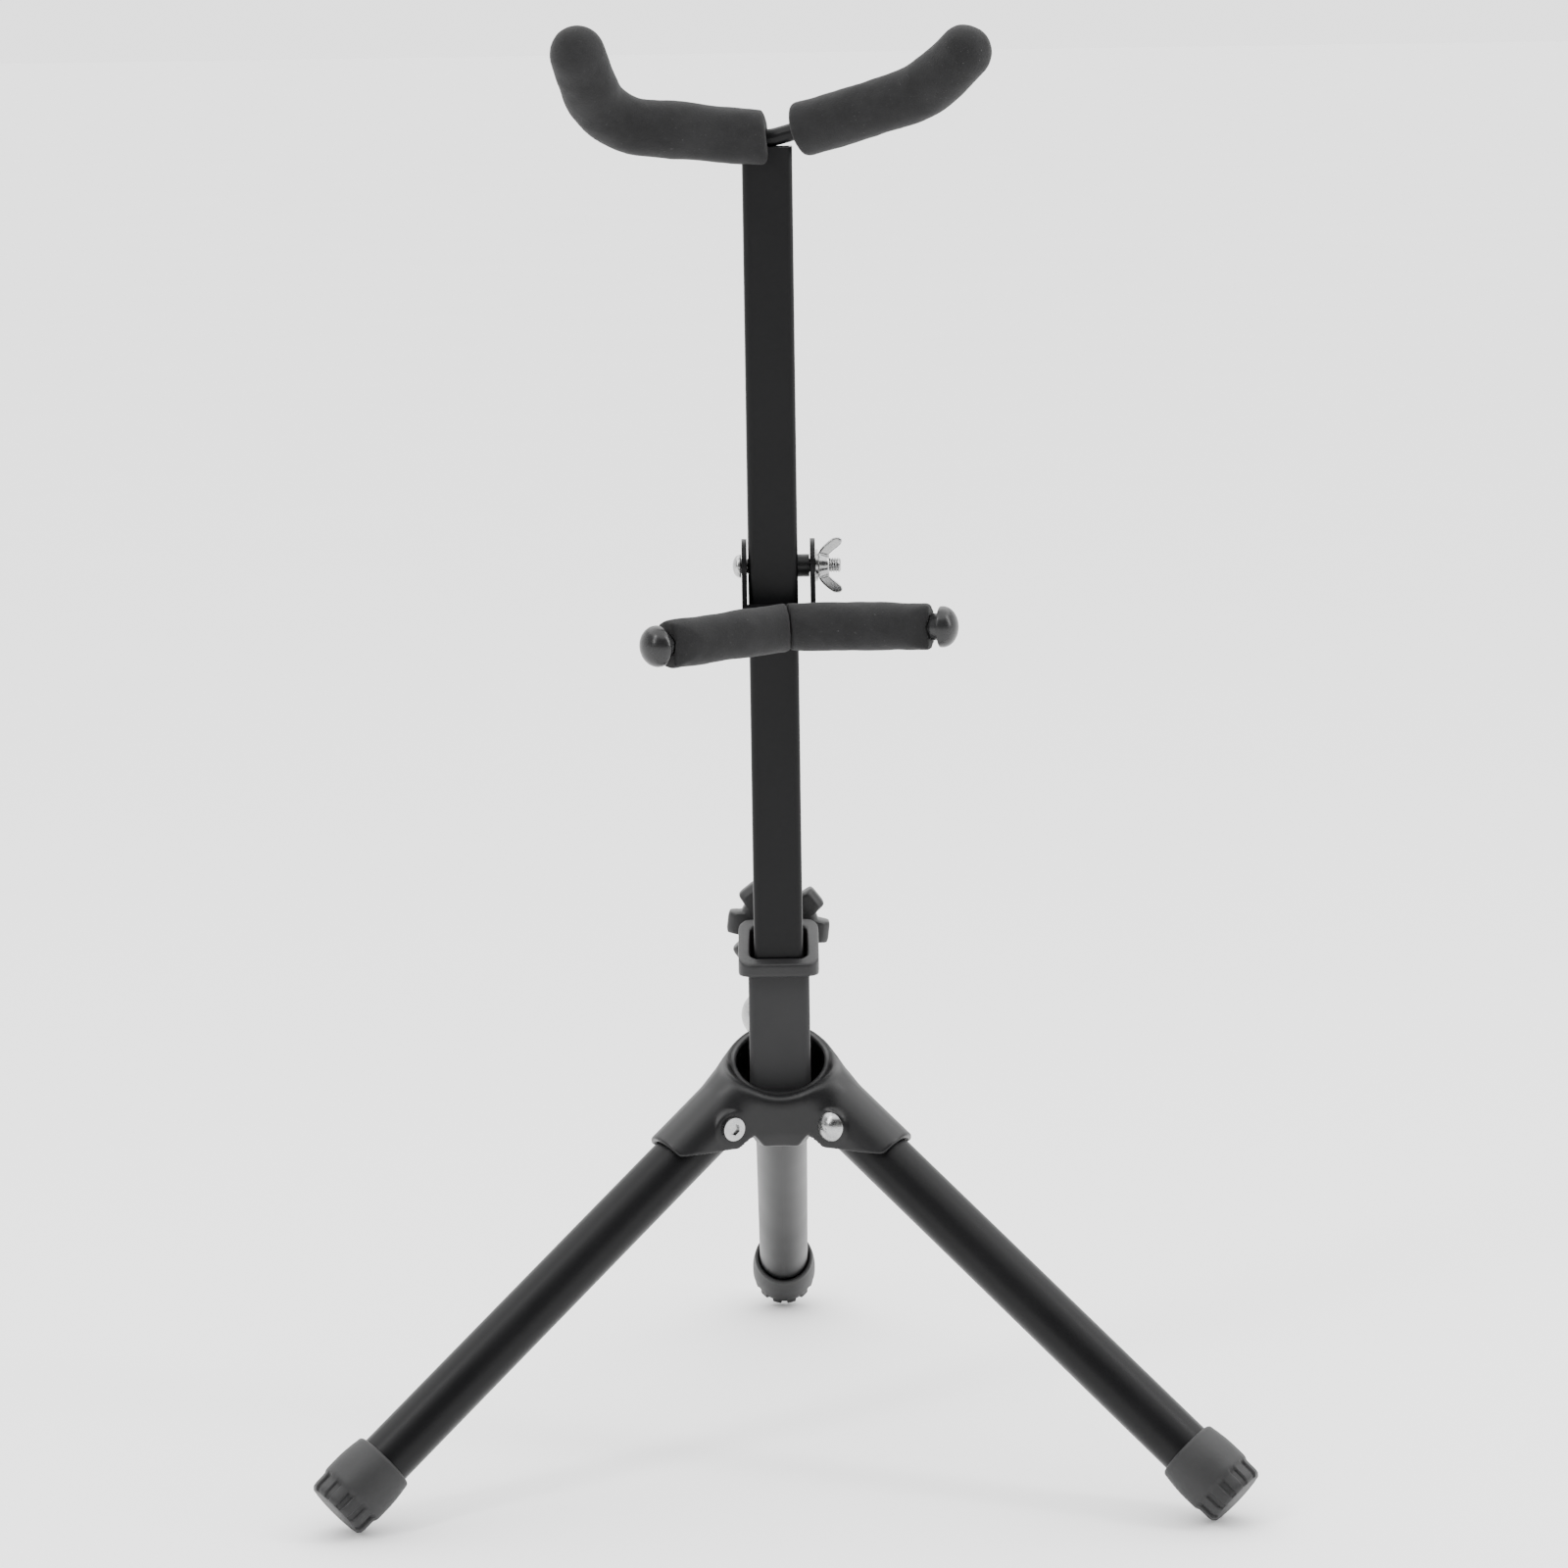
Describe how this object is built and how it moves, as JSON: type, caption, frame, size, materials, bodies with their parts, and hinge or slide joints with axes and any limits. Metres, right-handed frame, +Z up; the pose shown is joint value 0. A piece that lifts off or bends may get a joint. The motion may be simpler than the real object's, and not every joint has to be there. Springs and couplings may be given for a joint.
{
  "type": "saxophone stand",
  "caption": "Folding tripod stand with a square telescoping column, a foam covered yoke for a saxophone's bell and a tilting V rest for its body.",
  "frame": {"origin": "on the floor, at the centre of the footprint's bounding box", "axes": "+Z up along the column, -Y the side the instrument hangs on, +Y along the single rear leg"},
  "size_m": [0.3764, 0.3297, 0.5868],
  "materials": {
    "powder_black": "satin black powder coat on steel tube",
    "hub_black": "satin black moulded nylon",
    "plastic_black": "black moulded plastic",
    "foam_black": "black closed-cell foam sleeve with a fine cell texture",
    "rubber_black": "black moulded rubber",
    "zinc": "bright zinc plated steel"
  },
  "bodies": {
    "base": {"hub": "hub_black", "outer_tube": "powder_black", "tube_liner": "plastic_black", "liner_rivet": "zinc", "hub_screw": "zinc", "collar": "plastic_black", "hinge_bolts": "zinc", "hinge_nuts": "zinc"},
    "leg_left": {"leg_left_tube": "powder_black", "leg_left_plug": "plastic_black", "leg_left_foot": "rubber_black"},
    "leg_right": {"leg_right_tube": "powder_black", "leg_right_plug": "plastic_black", "leg_right_foot": "rubber_black"},
    "leg_rear": {"leg_rear_tube": "powder_black", "leg_rear_plug": "plastic_black", "leg_rear_foot": "rubber_black"},
    "knob": {"clamp_knob": "plastic_black", "clamp_screw": "zinc"},
    "column": {"inner_column": "powder_black", "column_plug": "plastic_black", "yoke_rod": "powder_black", "yoke_sleeve_left": "foam_black", "yoke_sleeve_right": "foam_black", "pivot_bolt": "zinc", "pivot_spacer": "plastic_black"},
    "body_rest": {"rest_bracket": "powder_black", "rest_rod": "powder_black", "rest_sleeve_left": "foam_black", "rest_sleeve_right": "foam_black", "rest_cap_left": "plastic_black", "rest_cap_right": "plastic_black"},
    "wing": {"wing_nut": "zinc", "pivot_washer": "zinc"}
  },
  "joints": [
    {"name": "leg_left_fold", "type": "hinge", "parent": "base", "child": "leg_left", "pos_m": [-0.02685, -0.06489, 0.1436], "axis": [0.5, -0.866, 0], "range_deg": [0, 52]},
    {"name": "leg_right_fold", "type": "hinge", "parent": "base", "child": "leg_right", "pos_m": [0.02685, -0.06489, 0.1436], "axis": [0.5, 0.866, 0], "range_deg": [0, 52]},
    {"name": "leg_rear_fold", "type": "hinge", "parent": "base", "child": "leg_rear", "pos_m": [0, -0.01839, 0.1436], "axis": [-1, 0, 0], "range_deg": [0, 52]},
    {"name": "clamp_turn", "type": "hinge", "parent": "base", "child": "knob", "pos_m": [0, -0.01939, 0.2155], "axis": [0, 1, 0], "continuous": true},
    {"name": "height_slide", "type": "slide", "parent": "base", "child": "column", "axis": [0, 0, 1], "range_m": [-0.1, 0.015]},
    {"name": "rest_tilt", "type": "hinge", "parent": "column", "child": "body_rest", "pos_m": [0, -0.04939, 0.3704], "axis": [-1, 0, 0], "range_deg": [0, 90]},
    {"name": "wing_turn", "type": "hinge", "parent": "column", "child": "wing", "pos_m": [0.02, -0.04939, 0.3704], "axis": [1, 0, 0], "continuous": true}
  ]
}
